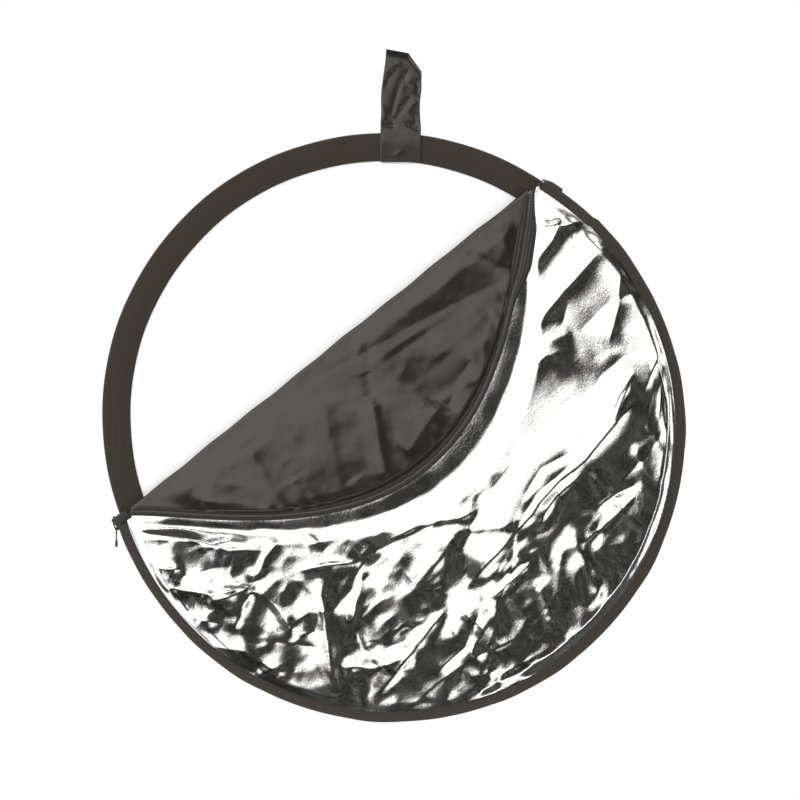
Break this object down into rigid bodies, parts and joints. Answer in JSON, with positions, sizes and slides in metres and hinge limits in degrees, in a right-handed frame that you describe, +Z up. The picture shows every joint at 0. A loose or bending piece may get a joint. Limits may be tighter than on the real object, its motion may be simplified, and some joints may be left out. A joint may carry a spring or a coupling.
{
  "type": "collapsible reflector disc",
  "caption": "Round translucent reflector disc on a sprung hoop, hanging by its webbing loop, in a half-open zip-on sleeve with silver and gold faces.",
  "frame": {"origin": "inside top of the webbing loop, where a hook or peg carries the disc", "axes": "+Z up, the silver front faces -Y, +X to the viewer's right"},
  "size_m": [0.5774, 0.0198, 0.6626],
  "materials": {
    "webbing": "plain woven nylon webbing, dark charcoal, matte",
    "band_tape": "dense elastic tape, dark warm brown-black, matte",
    "binding_tape": "ribbed binding tape, dark warm grey, matte",
    "spring_steel": "blued spring steel strip",
    "diffuser_cloth": "translucent white nylon",
    "silver_cloth": "metallised silver cloth, crinkled, mirror-like",
    "black_cloth": "charcoal satin nylon lining",
    "gold_cloth": "metallised gold cloth, crinkled",
    "white_cloth": "opaque white nylon lining",
    "zip_tape": "black zip tape, herringbone weave",
    "zip_coil": "black nylon coil",
    "zip_metal": "black painted die-cast zinc"
  },
  "bodies": {
    "hanger": {"strap_loop": "webbing"},
    "disc": {"strap_anchor": "webbing", "hoop_spring": "spring_steel", "hoop_splice_plate": "spring_steel", "splice_rivet_left": "spring_steel", "splice_rivet_right": "spring_steel", "hoop_band": "band_tape", "diffuser_panel": "diffuser_cloth"},
    "sleeve": {"sleeve_binding": "binding_tape", "zip_end_tab": "binding_tape", "front_panel_silver": "silver_cloth", "front_panel_lining": "black_cloth", "back_panel_gold": "gold_cloth", "back_panel_lining": "white_cloth", "zip_bottom_stop": "zip_metal"},
    "front_flap": {"front_flap_silver": "silver_cloth", "front_flap_lining": "black_cloth", "front_zip_tape": "zip_tape", "front_zip_coil": "zip_coil", "front_zip_top_stop": "zip_metal"},
    "back_flap": {"back_flap_gold": "gold_cloth", "back_flap_lining": "white_cloth", "back_zip_tape": "zip_tape", "back_zip_coil": "zip_coil", "back_zip_top_stop": "zip_metal"},
    "slider": {"zip_slider": "zip_metal"},
    "pull": {"zip_pull": "zip_metal"}
  },
  "joints": [
    {"name": "hang_swing", "type": "hinge", "parent": "hanger", "child": "disc", "pos_m": [0, 0, -0.074], "axis": [1, 0, 0], "range_deg": [-30, 30]},
    {"name": "sleeve_turn", "type": "hinge", "parent": "disc", "child": "sleeve", "pos_m": [-0.016, 0, -0.359], "axis": [0, -1, 0], "range_deg": [-5, 20]},
    {"name": "front_flap_fold", "type": "hinge", "parent": "sleeve", "child": "front_flap", "pos_m": [-0.06864, -0.007, -0.29329], "axis": [-0.7804, 0, -0.6252], "range_deg": [0, 177]},
    {"name": "back_flap_fold", "type": "hinge", "parent": "sleeve", "child": "back_flap", "pos_m": [-0.06864, 0.007, -0.29329], "axis": [0.7804, 0, 0.6252], "range_deg": [0, 177]},
    {"name": "zip_run", "type": "hinge", "parent": "sleeve", "child": "slider", "pos_m": [-0.016, 0, -0.359], "axis": [0, 1, 0], "range_deg": [0, 102]},
    {"name": "pull_swing", "type": "hinge", "parent": "slider", "child": "pull", "pos_m": [-0.28174, 0, -0.47024], "axis": [0, -1, 0], "range_deg": [-115, 14]}
  ]
}
